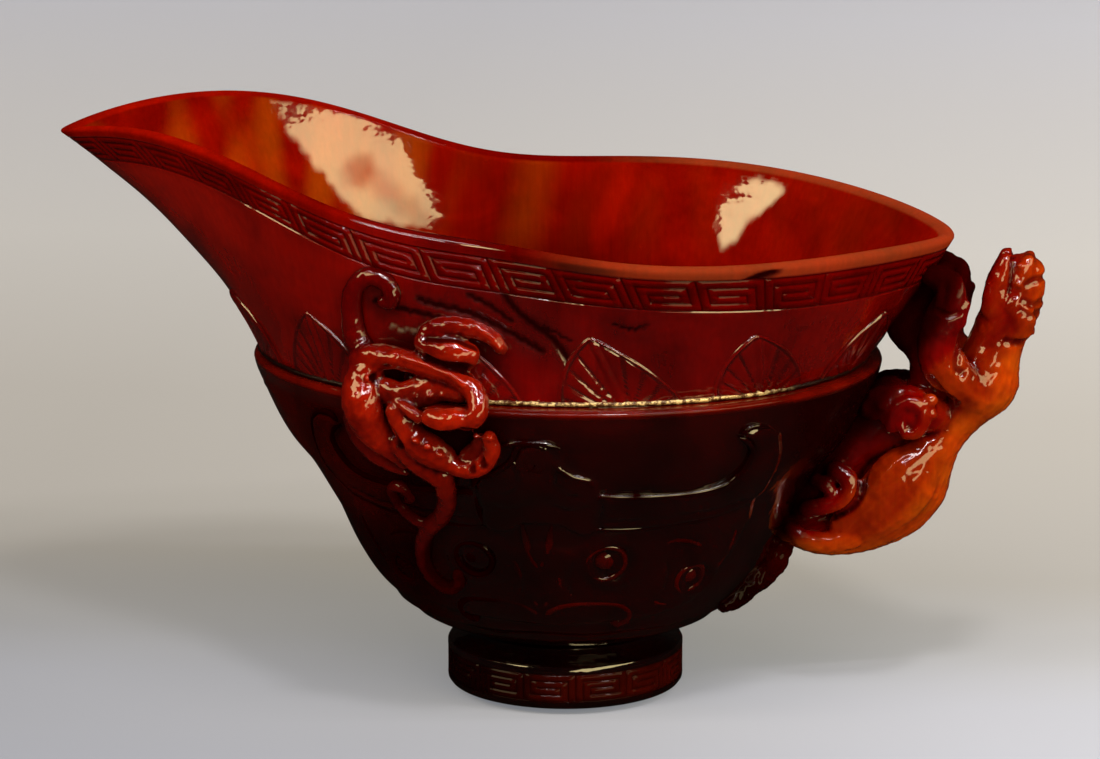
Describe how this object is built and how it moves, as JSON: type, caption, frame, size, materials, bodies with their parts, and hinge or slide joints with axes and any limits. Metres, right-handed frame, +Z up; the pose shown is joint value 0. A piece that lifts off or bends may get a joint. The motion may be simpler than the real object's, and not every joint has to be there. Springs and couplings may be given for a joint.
{
  "type": "horn cup",
  "caption": "Boat-shaped carved horn libation cup with a long spout, a round foot, a dragon for a handle and a dragon climbing each side.",
  "frame": {"origin": "middle of the foot's flat underside, where the cup rests on a table", "axes": "+Z up, +X towards the dragon handle, -X towards the spout, -Y towards the side that the picture shows"},
  "size_m": [0.1652, 0.0948, 0.0953],
  "materials": {
    "red_horn": "polished horn, clear red-brown, stained and waxed",
    "dark_horn": "polished horn, nearly black where it is thick",
    "amber_horn": "polished horn, clear amber",
    "gilding": "worn gold powder on a bead of glue"
  },
  "bodies": {
    "root": {"foot": "dark_horn", "lower_bowl": "dark_horn", "upper_bowl": "red_horn", "seam_bead": "gilding", "handle_dragon": "amber_horn", "handle_tail": "dark_horn", "side_dragon_front": "red_horn", "side_dragon_back": "red_horn", "hip_peg": "amber_horn", "paw_peg_front": "amber_horn", "paw_peg_back": "amber_horn"}
  },
  "joints": []
}
